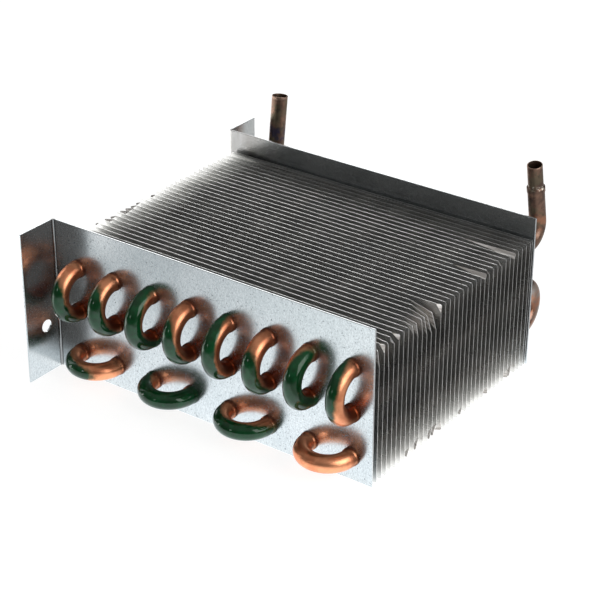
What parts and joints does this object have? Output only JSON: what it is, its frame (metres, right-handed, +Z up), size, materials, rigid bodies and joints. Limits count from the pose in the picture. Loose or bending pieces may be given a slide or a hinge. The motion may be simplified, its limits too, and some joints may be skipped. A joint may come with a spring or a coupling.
{
  "type": "finned condenser coil",
  "caption": "Air-cooled refrigeration condenser coil: copper hairpin tubes through a stack of aluminium plate fins between flanged galvanised end plates.",
  "frame": {"origin": "on the outer face of the mounting flanges, midway between their two holes", "axes": "+X along the end plates away from the flanges, +Y from the front hairpin bends to the connections at the rear, +Z up"},
  "size_m": [0.2074, 0.2102, 0.1113],
  "materials": {
    "galvanised_sheet": "galvanised steel sheet, smooth and half mirror-like, with fine specks",
    "aluminium_fin": "thin mill-finish aluminium, corners bent in places",
    "lacquered_copper": "bright copper tube, front bends partly under a clear green lacquer",
    "brazed_copper": "copper bends dulled by brazing",
    "heat_stained_copper": "copper darkened brown by heat"
  },
  "bodies": {
    "root": {"fin_01": "aluminium_fin", "fin_02": "aluminium_fin", "fin_03": "aluminium_fin", "fin_04": "aluminium_fin", "fin_05": "aluminium_fin", "fin_06": "aluminium_fin", "fin_07": "aluminium_fin", "fin_08": "aluminium_fin", "fin_09": "aluminium_fin", "fin_10": "aluminium_fin", "fin_11": "aluminium_fin", "fin_12": "aluminium_fin", "fin_13": "aluminium_fin", "fin_14": "aluminium_fin", "fin_15": "aluminium_fin", "fin_16": "aluminium_fin", "fin_17": "aluminium_fin", "fin_18": "aluminium_fin", "fin_19": "aluminium_fin", "fin_20": "aluminium_fin", "fin_21": "aluminium_fin", "fin_22": "aluminium_fin", "fin_23": "aluminium_fin", "fin_24": "aluminium_fin", "fin_25": "aluminium_fin", "fin_26": "aluminium_fin", "fin_27": "aluminium_fin", "fin_28": "aluminium_fin", "fin_29": "aluminium_fin", "fin_30": "aluminium_fin", "fin_31": "aluminium_fin", "fin_32": "aluminium_fin", "fin_33": "aluminium_fin", "fin_34": "aluminium_fin", "fin_35": "aluminium_fin", "fin_36": "aluminium_fin", "front_end_plate": "galvanised_sheet", "inlet_tube": "heat_stained_copper", "level_hairpin_1": "lacquered_copper", "level_hairpin_2": "lacquered_copper", "level_hairpin_3": "lacquered_copper", "level_hairpin_4": "lacquered_copper", "level_return_bend_1": "brazed_copper", "level_return_bend_2": "brazed_copper", "level_return_bend_3": "brazed_copper", "outlet_elbow": "heat_stained_copper", "outlet_stub": "heat_stained_copper", "rear_end_plate": "galvanised_sheet", "upright_hairpin_1": "lacquered_copper", "upright_hairpin_2": "lacquered_copper", "upright_hairpin_3": "lacquered_copper", "upright_hairpin_4": "lacquered_copper", "upright_hairpin_5": "lacquered_copper", "upright_hairpin_6": "lacquered_copper", "upright_hairpin_7": "lacquered_copper", "upright_hairpin_8": "lacquered_copper", "upright_return_bends": "brazed_copper"}
  },
  "joints": []
}
